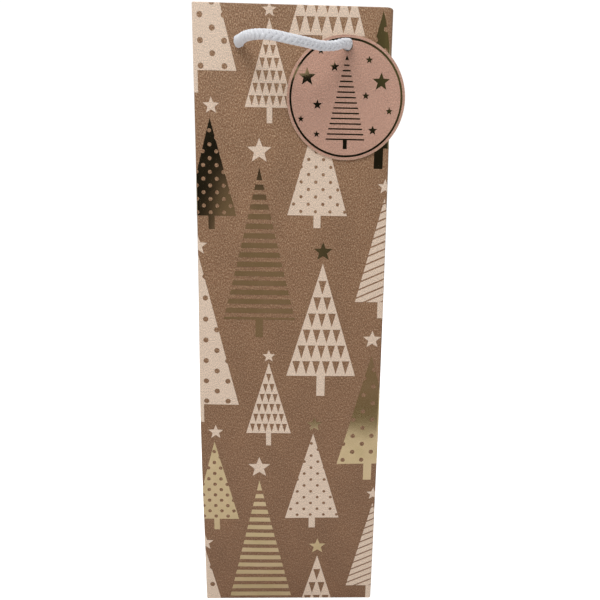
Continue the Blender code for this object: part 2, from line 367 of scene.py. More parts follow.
# %% Cord material
def cord_finish():
    """Soft white filaments that run along each strand of the braid."""
    material = bpy.data.materials.new("white braid")
    material.use_nodes = True
    tree = material.node_tree
    shader = tree.nodes["Principled BSDF"]
    place = add_node(tree, "ShaderNodeAttribute", attribute_name="strand").outputs["Vector"]
    filaments = stretched_noise(tree, place, (350, 6500, 900), 2.0)
    fuzz = stretched_noise(tree, object_place(tree), (1900, 1900, 1900), 2.0)
    colour = mix_colour(
        tree, ramp(tree, filaments, 0.35, 0.65), (0.66, 0.66, 0.69, 1.0), (0.84, 0.84, 0.86, 1.0)
    )
    tree.links.new(colour, shader.inputs["Base Color"])
    relief = add_node(tree, "ShaderNodeBump", Strength=0.6, Distance=0.0001)
    tree.links.new(math_node(tree, "ADD", filaments, fuzz), relief.inputs["Height"])
    tree.links.new(relief.outputs["Normal"], shader.inputs["Normal"])
    shader.inputs["Roughness"].default_value = 0.8
    shader.inputs["Specular IOR Level"].default_value = 0.25
    shader.inputs["Sheen Weight"].default_value = 0.35
    shader.inputs["Sheen Roughness"].default_value = 0.5
    return material


WHITE_BRAID = cord_finish()


# %% [markdown]
# ## The cord handles
#
# Each handle is one cord, knotted inside the bag at both ends. Its free loop is about 85 mm long,
# lies out from the panel and droops a little, higher at one end. The route repeats the packed
# model's own points, and a smooth curve runs through them. The cord could be a plain tube with a
# bump pattern, but its outline is visibly knobbly, so the eight strands of the braid are modelled:
# four wind one way and four the other, each passing over two and under two.

# %% Cord route
CORD_DIAMETER = 5.0 * MM
HOLE_SPACING = 58.0 * MM
HOLE_HEIGHT = 340.0 * MM
PIVOT_OUT = 49.4 * MM
STUB_IN = 9.0 * MM
HANDLE_ROUTE = (  # right, out from the pivot line, up from the holes
    (-0.0290, 0.0000, 0.0000), (-0.0269, 0.0050, -0.0010), (-0.0243, 0.0115, -0.0019),
    (-0.0207, 0.0180, -0.0032), (-0.0157, 0.0240, -0.0047), (-0.0090, 0.0270, -0.0060),
    (-0.0009, 0.0255, -0.0069), (0.0070, 0.0205, -0.0067), (0.0143, 0.0145, -0.0061),
    (0.0212, 0.0090, -0.0042), (0.0259, 0.0045, -0.0016), (0.0290, 0.0000, 0.0000),
)


def smooth_curve(points, steps):
    """A Catmull-Rom curve through the points, with that many steps between each two."""
    points = [Vector(p) for p in points]
    ends = [2 * points[0] - points[1]] + points + [2 * points[-1] - points[-2]]
    curve = []
    for before, start, end, after in zip(ends, ends[1:], ends[2:], ends[3:]):
        for step in range(steps):
            t = step / steps
            curve.append(0.5 * (
                2 * start + (end - before) * t
                + (2 * before - 5 * start + 4 * end - after) * t ** 2
                + (3 * start - before - 3 * end + after) * t ** 3
            ))
    curve.append(points[-1])
    return curve


def even_steps(points, step):
    """The same line with points that far apart."""
    walked = [0.0]
    for a, b in zip(points, points[1:]):
        walked.append(walked[-1] + (b - a).length)
    count = max(2, round(walked[-1] / step))
    even = []
    at = 0
    for i in range(count + 1):
        want = walked[-1] * i / count
        while at < len(points) - 2 and walked[at + 1] < want:
            at += 1
        t = (want - walked[at]) / max(1e-12, walked[at + 1] - walked[at])
        even.append(points[at].lerp(points[at + 1], t))
    return even, walked[-1]


def handle_line(side):
    """The front loop's line for side -1; the back one is the same, turned half round."""
    free = [Vector((x, -PIVOT_OUT - out, HOLE_HEIGHT + up)) for x, out, up in HANDLE_ROUTE]
    inside = Vector((0.0, STUB_IN, 0.0))
    line = smooth_curve([free[0] + inside, free[0] + inside / 2] + free
                        + [free[-1] + inside / 2, free[-1] + inside], 8)
    if side > 0:
        line = [Matrix.Rotation(math.pi, 3, "Z") @ p for p in line]
    return line


front_line, handle_length = even_steps(handle_line(-1), 0.5 * MM)
back_line, _ = even_steps(handle_line(1), 0.5 * MM)
print("cord between its knots", round(handle_length * 1000, 1), "mm")


# %% [markdown]
# ## Braiding
#
# A strand is a flattened tube that follows the cord's line at a small distance, turning round it.
# Its distance swells where it passes over two strands of the other hand and shrinks where it passes
# under. A grid is bent round into each tube and its long seam is merged. A plain core fills the
# middle, so nothing shows between strands.

# %% Braid
STRANDS_EACH_WAY = 4
BRAID_TURN = 11.6 * MM
STRAND_WIDTH = 0.98 * MM
STRAND_THICKNESS = 0.66 * MM
STRAND_SIDES = 8
RIB_TURN = math.radians(67.5)


def carried_frames(line):
    """Two directions across the line at each point, carried along it without twist."""
    frames = []
    across = None
    for i, point in enumerate(line):
        ahead = line[min(i + 1, len(line) - 1)] - line[max(i - 1, 0)]
        ahead.normalize()
        if across is None:
            across = ahead.orthogonal().normalized()
        across = (across - ahead * across.dot(ahead)).normalized()
        frames.append((point, across, ahead.cross(across)))
    return frames


def add_strand(bm, frames, step, hand, index, diameter, start_turn):
    """One strand of the braid along those frames, the whole braid turned by the start turn."""
    strand_layer = bm.verts.layers.float_vector["strand"]
    turn_rate = 2.0 * math.pi * hand / BRAID_TURN
    middle = diameter / 2.0 - STRAND_THICKNESS - 0.16 * MM
    tube = bmesh.ops.create_grid(bm, x_segments=len(frames) - 1, y_segments=STRAND_SIDES, size=0.5)
    centres = []
    for i, (point, across, up) in enumerate(frames):
        along = i * step
        angle = turn_rate * along + index * math.pi / 2.0
        crossing = 8.0 * along / BRAID_TURN
        if hand > 0:
            over = math.cos(math.pi / 2.0 * (crossing - 0.5 + 2 * index))
        else:
            over = -math.cos(math.pi / 2.0 * (crossing + 0.5 - 2 * index))
        angle += start_turn
        out = across * math.cos(angle) + up * math.sin(angle)
        centres.append((point + out * (middle + 0.30 * MM * over), out))
    for vertex in tube["verts"]:
        i = round((vertex.co.x + 0.5) * (len(frames) - 1))
        j = round((vertex.co.y + 0.5) * STRAND_SIDES) % STRAND_SIDES
        centre, out = centres[i]
        ahead = (centres[min(i + 1, len(centres) - 1)][0] - centres[max(i - 1, 0)][0]).normalized()
        wide = ahead.cross(out).normalized()
        thick = wide.cross(ahead)
        turn = 2.0 * math.pi * j / STRAND_SIDES
        vertex[strand_layer] = (i * step, turn / 2000.0, 0.01 * (index + 5 * hand))
        vertex.co = (
            centre + wide * STRAND_WIDTH * math.cos(turn) + thick * STRAND_THICKNESS * math.sin(turn)
        )


def turn_towards(frames, place):
    """The turn round the line's middle that faces a place."""
    point, across, up = frames[len(frames) // 2]
    way = place - point
    return math.atan2(way.dot(up), way.dot(across))


def braided_cord(name, line, diameter=CORD_DIAMETER, rib_towards=None):
    """A closed braid of eight strands round a core, along a line of even steps."""
    bm = bmesh.new()
    bm.verts.layers.float_vector.new("strand")
    step = sum((b - a).length for a, b in zip(line, line[1:])) / (len(line) - 1)
    frames = carried_frames(line)
    start_turn = turn_towards(frames, rib_towards) - RIB_TURN if rib_towards else 0.0
    for hand in (1, -1):
        for index in range(STRANDS_EACH_WAY):
            add_strand(bm, frames, step, hand, index, diameter, start_turn)
    core = bmesh.ops.create_grid(bm, x_segments=len(frames) - 1, y_segments=12, size=0.5)
    for vertex in core["verts"]:
        i = round((vertex.co.x + 0.5) * (len(frames) - 1))
        turn = math.pi / 6.0 * (round((vertex.co.y + 0.5) * 12) % 12)
        point, across, up = frames[i]
        vertex.co = point + (across * math.cos(turn) + up * math.sin(turn)) * (diameter / 2 - 1.0 * MM)
    bmesh.ops.remove_doubles(bm, verts=bm.verts[:], dist=1e-7)
    bmesh.ops.holes_fill(bm, edges=[e for e in bm.edges if e.is_boundary], sides=16)
    bmesh.ops.recalc_face_normals(bm, faces=bm.faces[:])
    return finish_piece(name, bm, [WHITE_BRAID], crisp=70.0)


front_cord = braided_cord("front_cord", front_line, rib_towards=CAMERA_PLACE)
back_cord = braided_cord("back_cord", back_line)


# %% [markdown]
# ## Knots
#
# Each cord end is tied in an overhand knot behind its hole, with a short tail hanging down. The
# knot's line comes in from the hole, goes once round itself and out through its own loop. The line
# is drawn through a few places round the knot's middle and braided like the rest of the cord.

# %% Knots
KNOT_IN = 37.45 * MM
KNOT_ROUTE = (  # across, in from the knot's middle, up
    (0.0, -3.6, 0.0), (0.4, -2.0, 0.2), (2.2, 0.6, 2.6), (4.2, 3.0, 1.6), (3.8, 4.2, -2.2),
    (0.6, 3.6, -4.6), (-3.0, 1.2, -3.8), (-4.4, -0.6, 0.0), (-3.0, 0.6, 3.6), (0.4, 2.6, 4.4),
    (1.6, 4.6, 1.2), (0.6, 3.4, -2.6), (-0.2, 0.6, -6.6), (0.2, 0.2, -11.0), (0.6, 0.6, -17.0),
)


def knot_line(side, end):
    """The line of a knot at side -1 (front) or 1 (back), at end -1 (left) or 1 (right)."""
    place = Vector((end * HOLE_SPACING / 2.0, side * KNOT_IN, HOLE_HEIGHT))
    points = []
    for across, inward, up in KNOT_ROUTE:
        points.append(place + Vector((across * end, -side * inward, up)) * MM)
    return even_steps(smooth_curve(points, 8), 0.5 * MM)[0]


knots = {}
for side, side_name in ((-1, "front"), (1, "back")):
    for end, end_name in ((-1, "left"), (1, "right")):
        name = f"{side_name}_{end_name}_tied_knot"
        knots[side, end] = braided_cord(name, knot_line(side, end), CORD_DIAMETER * 0.94)

for cord_piece, side, body, line in (
    (front_cord, -1, "front_handle", front_line),
    (back_cord, 1, "back_handle", back_line),
):
    side_name = "front" if side < 0 else "back"
    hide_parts(f"{side_name}_handle_cord")
    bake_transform(cord_piece)
    for end, end_name in ((-1, "left"), (1, "right")):
        knot = knots[side, end]
        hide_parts(f"{side_name}_{end_name}_knot")
        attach(knot, "bag")


# %% [markdown]
# ## The flat sheet and its folds
#
# The whole bag is one sheet: left gusset, front, right gusset and back side by side, a strip along
# the top that turns in, and four flaps along the bottom. Positions on it are a distance round the
# bag from the middle of the front, and a height up it. Modelling each panel apart would leave
# seams, so instead one function folds any point of the sheet to its place in the standing bag,
# paper and ink alike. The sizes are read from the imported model.

# %% Sheet sizes
front_low, front_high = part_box("front_panel")
HALF_WIDTH = max(-front_low[0], front_high[0])
HALF_DEPTH = -front_low[1]
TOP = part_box("front_turn_in")[1][2]
TURN_IN_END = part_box("front_turn_in")[0][2]
PAPER = 0.3 * MM
FRONT_STACK = 1.8 * MM
SIDE_STACK = 0.9 * MM
FOLD_RADIUS = 1.0 * MM
BASE_FOLD = 0.5 * MM
FLAP_LENGTH = 52.0 * MM
FLAP_TIP = 5.0 * MM

ROUND = 2 * (2 * HALF_WIDTH + 2 * HALF_DEPTH)
FOLDS = (
    -HALF_WIDTH - 2 * HALF_DEPTH, -HALF_WIDTH, HALF_WIDTH,
    HALF_WIDTH + 2 * HALF_DEPTH, 3 * HALF_WIDTH + 2 * HALF_DEPTH,
)
LEFT, FRONT, RIGHT, BACK = range(4)
OUTWARD = (Vector((-1, 0)), Vector((0, -1)), Vector((1, 0)), Vector((0, 1)))
SHEET_TOP = TOP + (TOP - TURN_IN_END) + 1.0 * MM
print("sheet", round(ROUND * 1000), "mm round, bag", TOP * 1000, "mm tall")


def panel_at(s):
    """Which of the four walls a distance round the bag is on."""
    for wall in (LEFT, FRONT, RIGHT):
        if s < FOLDS[wall + 1]:
            return wall
    return BACK


def corners(half_width, half_depth):
    """The corners that the walls run between, in the order of the folds."""
    return [
        Vector(c) for c in (
            (-half_width, half_depth), (-half_width, -half_depth), (half_width, -half_depth),
            (half_width, half_depth), (-half_width, half_depth),
        )
    ]


OUTER_CORNERS = corners(HALF_WIDTH, HALF_DEPTH)
INNER_CORNERS = corners(HALF_WIDTH - SIDE_STACK, HALF_DEPTH - FRONT_STACK)


# %% [markdown]
# ## How the paper really stands
#
# Paper under no load is never flat. The side walls keep the memory of the crease that lets the bag
# fold, a little deeper towards the mouth and shallow enough for the base card to lift past. The
# front is nearly flat because a card stiffens its top, yet it waves a little, its edges bow, and
# near the mouth the right-hand fold is soft and round. All of that is a small shift that depends
# on the place round the bag and the height, and both layers of the wall take the same one, so they
# never cut through each other.

# %% Shape of the standing paper
LEFT_CREASE = 1.7 * MM  # how far each side's crease stands in at the mouth
RIGHT_CREASE = 1.5 * MM
DIAGONAL_CREASE = 0.14 * MM  # the faint folds from the base's corners up to the crease
LEFT_BULGE = 1.6 * MM  # where the left side stands out near the front fold


def fold_radius(fold, z):
    """How round a vertical fold is at a height."""
    if fold == 2:
        return FOLD_RADIUS + 3.4 * MM * smooth_step(0.270, 0.335, z)
    if fold == 3:
        return FOLD_RADIUS + 1.0 * MM * smooth_step(0.250, 0.350, z)
    return FOLD_RADIUS


def corner_shift(fold, z):
    """How far a vertical fold stands from its place at a height."""
    if fold == 1:
        return Vector((-1.3 * MM * hump(z, 0.115, 0.060), 0.0))
    if fold == 2:
        return Vector((0.7 * MM * hump(z, 0.130, 0.080), -0.3 * MM * hump(z, 0.200, 0.060)))
    if fold == 3:
        return Vector((0.8 * MM * hump(z, 0.170, 0.070), 0.5 * MM * hump(z, 0.110, 0.060)))
    return Vector((-0.6 * MM * hump(z, 0.200, 0.070), 0.4 * MM * hump(z, 0.240, 0.060)))


def crease_depth(wall, z):
    """How far a side wall's crease stands in at a height."""
    start = HALF_DEPTH
    rise = max(0.0, z - start) / (TOP - start)
    full = LEFT_CREASE if wall == LEFT else RIGHT_CREASE
    return full * rise ** 0.85


def wall_wave(wall, t, z):
    """How far a wall stands out of its plane, t across it from 0 to 1 at a height."""
    if wall in (FRONT, BACK):
        across = math.sin(math.pi * t)
        belly = 1.1 * MM * across * hump(z, 0.15, 0.08) - 0.5 * MM * across * hump(z, 0.27, 0.04)
        ripple = 0.35 * MM * math.sin(3 * math.pi * t + 1.1) * math.sin(z * 38.0 + 3.0 * wall)
        stiff_mouth = smooth_step(0.330, 0.295, z)
        return (belly + ripple * across * stiff_mouth) * smooth_step(0.0, 0.03, z)
    along = abs(2.0 * t - 1.0)
    crease = 1.0 - math.sqrt(along * along + 0.0004) + 0.01
    out = -crease_depth(wall, z) * max(0.0, crease)
    if z < HALF_DEPTH:
        out = 0.0
    diagonal = (HALF_DEPTH - z) / HALF_DEPTH - along
    out -= DIAGONAL_CREASE * math.exp(-(diagonal / 0.10) ** 2) * smooth_step(0.0, 0.004, z)
    out += 1.0 * MM * math.sin(math.pi * t) * hump(z, 0.12, 0.05)
    if wall == LEFT:
        near_front = smooth_step(1.0, 0.91, t) * smooth_step(0.45, 0.80, t)
        out += LEFT_BULGE * near_front * hump(z, 0.250, 0.024)
    return out


def sag(wall, t, z):
    """The shift of the wall at that place, as a sideways and depthways distance."""
    shift = corner_shift(wall, z).lerp(corner_shift((wall + 1) % 4, z), t)
    return shift + OUTWARD[wall] * wall_wave(wall, t, z)


# %% Folding a point of the sheet
def wall_point(wall, t, ring, radius_from, radius_to):
    """The place on a wall of a ring of corners, rounded at its folds, and the way that it faces."""
    start, end = ring[wall], ring[wall + 1]
    length = (end - start).length
    place = start.lerp(end, t)
    out = OUTWARD[wall]
    for near, radius, other in (
        (t * length, radius_from, OUTWARD[wall - 1]),
        ((1.0 - t) * length, radius_to, OUTWARD[(wall + 1) % 4]),
    ):
        if near < radius:
            angle = math.pi / 4.0 * (1.0 - near / radius)
            facing = out * math.cos(angle) + other * math.sin(angle)
            fold = start if near == t * length else end
            return fold - (out + other) * radius + facing * radius, facing
    return place, out


def fold_sheet(s, v, lift=0.0, wall=None):
    """Where a point of the flat sheet is in the bag, lifted off its printed face by that much."""
    if wall is None:
        wall = panel_at(s)
    t = (s - FOLDS[wall]) / (FOLDS[wall + 1] - FOLDS[wall])
    z = min(max(v, 0.0), TOP)
    radius_from, radius_to = fold_radius(wall, z), fold_radius(wall + 1 if wall < BACK else 0, z)
    outer, facing = wall_point(wall, t, OUTER_CORNERS, radius_from, radius_to)
    tuck = 0.6 * MM
    inner, _ = wall_point(
        wall, t, INNER_CORNERS, max(radius_from - tuck, 0.3 * MM), max(radius_to - tuck, 0.3 * MM)
    )
    turn = inner - outer
    rim = turn.length / 2.0
    rim_start = TOP - rim
    place, normal, z = outer, Vector((facing.x, facing.y, 0.0)), v
    if v > rim_start:
        angle = min(math.pi, (v - rim_start) / rim)
        place = outer + turn * (1.0 - math.cos(angle)) / 2.0
        z = rim_start + rim * math.sin(angle) - max(0.0, v - rim_start - math.pi * rim)
        normal = normal * math.cos(angle) + Vector((0.0, 0.0, math.sin(angle)))
    elif v < BASE_FOLD:
        angle = min(math.pi / 2.0, math.pi / 4.0 * (1.0 - v / BASE_FOLD))
        under = max(0.0, -v - BASE_FOLD)
        layer = {BACK: 0.0, FRONT: 0.6 * MM}.get(wall, 1.2 * MM) * smooth_step(0.0, 7.0 * MM, under)
        inward = facing * BASE_FOLD * (1.0 - math.cos(angle))
        place = outer - inward - OUTWARD[wall] * under
        z = BASE_FOLD * (1.0 - math.sin(angle)) + layer
        normal = normal * math.cos(angle) - Vector((0.0, 0.0, math.sin(angle)))
    place = place + sag(wall, t, z) * smooth_step(-2.0 * MM, 1.0 * MM, v)
    return Vector((place.x, place.y, z)) + normal * lift


# %% [markdown]
# ## Cutting the sheet
#
# Paper bends only where it is cut into small enough faces, so the sheet is a grid whose lines are
# close together at the folds, the rim and the punched holes, and wide apart on the flat. Ink that
# lies on the paper is later cut along the same lines, so the two never part.

# %% Grid lines
def spread(low, high, step):
    """Evenly spaced lines from low to high, about a step apart."""
    count = max(1, round((high - low) / step))
    return [low + (high - low) * i / count for i in range(count + 1)]


def around(middle, offsets):
    """Lines at those distances on both sides of a middle one."""
    return [middle] + [middle - d for d in offsets] + [middle + d for d in offsets]


def tidy_lines(lines, closest=0.04 * MM):
    """The lines in order, without doubles."""
    kept = []
    for line in sorted(lines):
        if not kept or line - kept[-1] > closest:
            kept.append(line)
    return kept


HOLE_RADIUS = CORD_DIAMETER / 2.0 + 0.4 * MM
HOLE_SQUARE = 4.0 * MM
FINE = [d * MM for d in (0.25, 0.5, 0.75, 1.0, 1.6, 2.3, 3.1, 4.4)]
BACK_MIDDLE = 2 * HALF_WIDTH + 2 * HALF_DEPTH
CREASES = (-HALF_WIDTH - HALF_DEPTH, HALF_WIDTH + HALF_DEPTH)

round_lines = []
for fold in FOLDS:
    round_lines += [x for x in around(fold, FINE) if FOLDS[0] <= x <= FOLDS[4]]
for crease in CREASES:
    round_lines += around(crease, [d * MM for d in (0.3, 0.8, 1.6, 3.0)])
    round_lines += spread(crease - HALF_DEPTH + 9 * MM, crease - 6 * MM, 6 * MM)
    round_lines += spread(crease + 6 * MM, crease + HALF_DEPTH - 9 * MM, 6 * MM)
for middle in (0.0, BACK_MIDDLE):
    for hole in (middle - HOLE_SPACING / 2.0, middle + HOLE_SPACING / 2.0):
        round_lines += around(hole, [2 * MM, 4 * MM])
    for low, high in ((-49, -34), (-26, 26), (34, 49)):
        round_lines += spread(middle + low * MM, middle + high * MM, 5.5 * MM)
round_lines = tidy_lines(round_lines)

front_rim = FRONT_STACK / 2.0
TURNED_HOLE = TOP - front_rim + math.pi * front_rim + (TOP - front_rim - HOLE_HEIGHT)
up_lines = spread(0.0, BASE_FOLD, 0.17 * MM) + spread(1.5 * MM, 327 * MM, 6 * MM)
up_lines += around(HOLE_HEIGHT, [2 * MM, 4 * MM, 8 * MM]) + spread(353 * MM, 359 * MM, 3 * MM)
up_lines += spread(TOP - 1.0 * MM, TOP + 2.0 * MM, 0.2 * MM) + spread(364 * MM, 373 * MM, 4.5 * MM)
up_lines += around(TURNED_HOLE, [2 * MM, 4 * MM]) + spread(389 * MM, SHEET_TOP, 6 * MM)
up_lines = tidy_lines(up_lines)
flap_lines = tidy_lines(
    spread(-BASE_FOLD, 0.0, 0.17 * MM) + [-1.2 * MM, -2.5 * MM] + spread(-FLAP_LENGTH, -5 * MM, 6 * MM)
)
print(len(round_lines), "lines round the bag,", len(up_lines) + len(flap_lines), "up it")


# %% Flat paper
def flat_grid(across, up):
    """A flat grid on those lines, across in x and up in y."""
    bm = bmesh.new()
    bmesh.ops.create_grid(bm, x_segments=len(across) - 1, y_segments=len(up) - 1, size=0.5)
    for vertex in bm.verts:
        i = round((vertex.co.x + 0.5) * (len(across) - 1))
        j = round((vertex.co.y + 0.5) * (len(up) - 1))
        vertex.co = (across[i], up[j], 0.0)
    return bm


def punch(bm, s, v):
    """Punches a round cord hole at the middle of a square of small faces."""
    inside = [
        f for f in bm.faces
        if abs(f.calc_center_median().x - s) < HOLE_SQUARE
        and abs(f.calc_center_median().y - v) < HOLE_SQUARE
    ]
    rim = [e for f in inside for e in f.edges if sum(g in inside for g in e.link_faces) == 1]
    bmesh.ops.delete(bm, geom=inside, context="FACES")
    rim = [e for e in set(rim) if e.is_valid]
    place = Matrix.Translation((s, v, 0.0))
    hole = bmesh.ops.create_circle(bm, segments=len(rim), radius=HOLE_RADIUS, matrix=place)
    circle = list({e for vertex in hole["verts"] for e in vertex.link_edges})
    bmesh.ops.bridge_loops(bm, edges=rim + circle)
    return len(inside)


def flat_layers(bm):
    """The two records that every vertex keeps: its place on the flat sheet and its wall."""
    places = bm.verts.layers.float_vector.get("sheet") or bm.verts.layers.float_vector.new("sheet")
    walls = bm.verts.layers.int.get("wall") or bm.verts.layers.int.new("wall")
    return places, walls


def fold_up(bm, wall=None, lift=0.0):
    """Records each vertex's place on the flat sheet, then folds it to its place in the bag."""
    places, walls = flat_layers(bm)
    for vertex in bm.verts:
        s, v = vertex.co.x, vertex.co.y
        vertex[places] = (s, v, 0.0)
        vertex[walls] = panel_at(s) if wall is None else wall
        vertex.co = fold_sheet(s, v, lift, vertex[walls])
    bm.normal_update()


def join_into(whole_bm, part):
    """Adds a finished part to a larger bmesh."""
    mesh = bpy.data.meshes.new("part")
    part.to_mesh(mesh)
    part.free()
    whole_bm.from_mesh(mesh)
    bpy.data.meshes.remove(mesh)


sheet = flat_grid(round_lines, up_lines)
for middle in (0.0, BACK_MIDDLE):
    for end in (-1, 1):
        for height in (HOLE_HEIGHT, TURNED_HOLE):
            punch(sheet, middle + end * HOLE_SPACING / 2.0, height)
fold_up(sheet)

for wall in (LEFT, FRONT, RIGHT, BACK):
    low, high = FOLDS[wall], FOLDS[wall + 1]
    flap = flat_grid([x for x in round_lines if low - 1e-9 <= x <= high + 1e-9], flap_lines)
    if wall in (FRONT, BACK):
        middle = (low + high) / 2.0
        slope = (HALF_WIDTH - FLAP_TIP) / HALF_WIDTH / FLAP_LENGTH
        for vertex in flap.verts:
            narrowing = 1.0 + slope * vertex.co.y
            vertex.co.x = middle + (vertex.co.x - middle) * narrowing
    fold_up(flap, wall)
    join_into(sheet, flap)
bmesh.ops.remove_doubles(sheet, verts=sheet.verts[:], dist=0.02 * MM)
sheet.normal_update()
print("folded sheet", len(sheet.faces), "faces")


# %% [markdown]
# ## Giving the paper its thickness
#
# The folded sheet gets its thickness towards the inside of the paper, so the printed face keeps its
# size. The new faces are unprinted kraft. The same helper serves the stiffening cards and the seam
# tab, which are folded by the same function a little deeper, so they follow the walls.

# %% Paper bag
def thicken(bm, under_place, inner_material=0):
    """Doubles an open sheet into a closed one whose new side is where under_place says."""
    outer_faces, outer_verts = set(bm.faces), set(bm.verts)
    bmesh.ops.solidify(bm, geom=bm.faces[:], thickness=0.01 * MM)
    for face in bm.faces:
        if face not in outer_faces:
            face.material_index = inner_material
    for vertex in bm.verts:
        if vertex not in outer_verts:
            vertex.co = under_place(vertex)
    bm.normal_update()


def thicken_folded(bm, depth, inner_material=0):
    """Gives folded paper or ink its other side, at that depth under the printed face."""
    places, walls = flat_layers(bm)
    for face in bm.faces:
        s = sum(vertex[places][0] for vertex in face.verts) / len(face.verts)
        v = sum(vertex[places][1] for vertex in face.verts) / len(face.verts)
        under = fold_sheet(s, v, -PAPER - depth, face.verts[0][walls])
        if face.normal.dot(face.calc_center_median() - under) < 0.0:
            face.normal_flip()
    thicken(
        bm,
        lambda vertex: fold_sheet(vertex[places][0], vertex[places][1], -depth, vertex[walls]),
        inner_material,
    )


thicken_folded(sheet, PAPER, 1)
paper_bag = finish_piece("paper_bag", sheet, [PRINTED_KRAFT, PLAIN_KRAFT], crisp=50.0)
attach(paper_bag, "bag")
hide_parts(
    "front_panel", "back_panel", "left_gusset_front", "left_gusset_rear",
    "right_gusset_front", "right_gusset_rear", "front_turn_in", "back_turn_in", "left_turn_in",
    "right_turn_in", "bottom_flap_left", "bottom_flap_right", "bottom_flap_front", "bottom_flap_back",
)


# %% Seam tab and stiffening cards
def layer_behind(name, s_low, s_high, v_low, v_high, depth, thickness, material, holes, wall):
    """A strip of paper or card that lies behind a wall and follows its shape."""
    across = [s_low, s_high] + [x for x in round_lines if s_low + 0.3 * MM < x < s_high - 0.3 * MM]
    up = [v_low, v_high] + [x for x in up_lines if v_low + 0.3 * MM < x < v_high - 0.3 * MM]
    bm = flat_grid(tidy_lines(across), tidy_lines(up))
    for hole in holes:
        punch(bm, hole, HOLE_HEIGHT)
    fold_up(bm, wall, -depth)
    thicken_folded(bm, depth + thickness)
    piece = finish_piece(name, bm, [material], crisp=50.0)
    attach(piece, "bag")
    return piece


tab_low, tab_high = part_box("seam_tab")
seam_tab = layer_behind(
    "seam_strip", BACK_MIDDLE - tab_high[0], BACK_MIDDLE - tab_low[0], tab_low[2], tab_high[2],
    0.6 * MM, PAPER, PLAIN_KRAFT, (), BACK,
)
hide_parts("seam_tab")

for side_name, middle, wall in (("front", 0.0, FRONT), ("back", BACK_MIDDLE, BACK)):
    card_low, card_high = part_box(f"{side_name}_handle_card")
    card = layer_behind(
        f"{side_name}_stiff_card", middle - card_high[0], middle + card_high[0],
        card_low[2], TOP - 1.2 * MM, 0.6 * MM, 0.6 * MM, GREY_BOARD,
        (middle - HOLE_SPACING / 2.0, middle + HOLE_SPACING / 2.0), wall,
    )
    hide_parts(f"{side_name}_handle_card")


# %% [markdown]
# ## The base card
#
# A card lies loose on the folded flaps to carry the bottle. It is cut with rounded corners, so its
# outline starts as a rectangle whose corners are bevelled, and its cut edge is eased a little.

# %% Base card
base_low, base_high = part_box("base_card")
base = bmesh.new()
bmesh.ops.create_grid(base, x_segments=1, y_segments=1, size=0.5)
for vertex in base.verts:
    vertex.co.x *= base_high[0] - base_low[0]
    vertex.co.y *= base_high[1] - base_low[1]
    vertex.co.z = base_high[2]
bmesh.ops.bevel(
    base, geom=base.verts[:], offset=3.0 * MM, segments=6, profile=0.5, affect="VERTICES", material=-1
)
bmesh.ops.recalc_face_normals(base, faces=base.faces[:])
if base.faces[:][0].normal.z < 0.0:
    bmesh.ops.reverse_faces(base, faces=base.faces[:])
bmesh.ops.solidify(base, geom=base.faces[:], thickness=base_high[2] - base_low[2])
base_rim = [e for e in base.edges if e.is_manifold and e.calc_face_angle() > 1.0]
bmesh.ops.bevel(
    base, geom=base_rim, offset=0.15 * MM, segments=2, profile=0.5, affect="EDGES", material=-1
)
loose_base = finish_piece("loose_base", base, [GREY_BOARD])
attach(loose_base, "base_insert")
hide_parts("base_card")


# %% [markdown]
# ## Cutting ink to shape
#
# The print is a repeat of cone-shaped trees and five-pointed stars. It could be drawn with maths
# nodes, but cut shapes stay crisp at any distance and go into an exported model as they are. Each
# tree is cut as a paper-cutter would: a strip of ink is punched or slit, then trimmed to a cone by
# two straight cuts, so a dot on the edge is left as a bite. A trunk and a star finish it.

# %% Ink shapes
def ink_strip(low, high, holes=()):
    """A flat rectangle of ink with holes in it. A hole is (across, up, radius, sides, turn)."""
    bm = bmesh.new()
    bmesh.ops.create_grid(bm, x_segments=1, y_segments=1, size=0.5)
    for vertex in bm.verts:
        vertex.co.x = low[0] if vertex.co.x < 0.0 else high[0]
        vertex.co.y = low[1] if vertex.co.y < 0.0 else high[1]
    if holes:
        bmesh.ops.delete(bm, geom=bm.faces[:], context="FACES_ONLY")
        for across, up, radius, sides, turn in holes:
            place = Matrix.Translation((across, up, 0.0)) @ Matrix.Rotation(turn, 4, "Z")
            bmesh.ops.create_circle(bm, segments=sides, radius=radius, matrix=place)
        bmesh.ops.triangle_fill(bm, use_beauty=True, edges=bm.edges[:])
    return bm


def trim(bm, place, facing):
    """Cuts away everything beyond a straight line."""
    bmesh.ops.bisect_plane(
        bm, geom=whole(bm), dist=1e-7, plane_co=(*place, 0.0), plane_no=(*facing, 0.0), clear_outer=True
    )


def trim_to_cone(bm, half_width, height):
    """Trims ink to a cone that stands on its base line."""
    trim(bm, (0.0, height), (height, half_width))
    trim(bm, (0.0, height), (-height, half_width))
    trim(bm, (0.0, 0.0), (0.0, -1.0))


def dotted_cone(half_width, height, dot, column, row, first_column, first_row):
    """A cone with staggered round dots left out."""
    edge = half_width + 2 * column
    holes = []
    for j in range(int(height / row) + 2):
        for c in range(-30, 31):
            across, up = first_column + c * column, first_row + j * row
            if (c + j) % 2 == 0 and abs(across) < edge - column and up < height + row:
                reach = half_width * (1.0 - up / height) + 3 * dot
                if abs(across) < reach:
                    holes.append((across, up, dot, 12, 0.0))
    bm = ink_strip((-edge, -2 * row), (edge, height + 3 * row), holes)
    trim_to_cone(bm, half_width, height)
    return bm


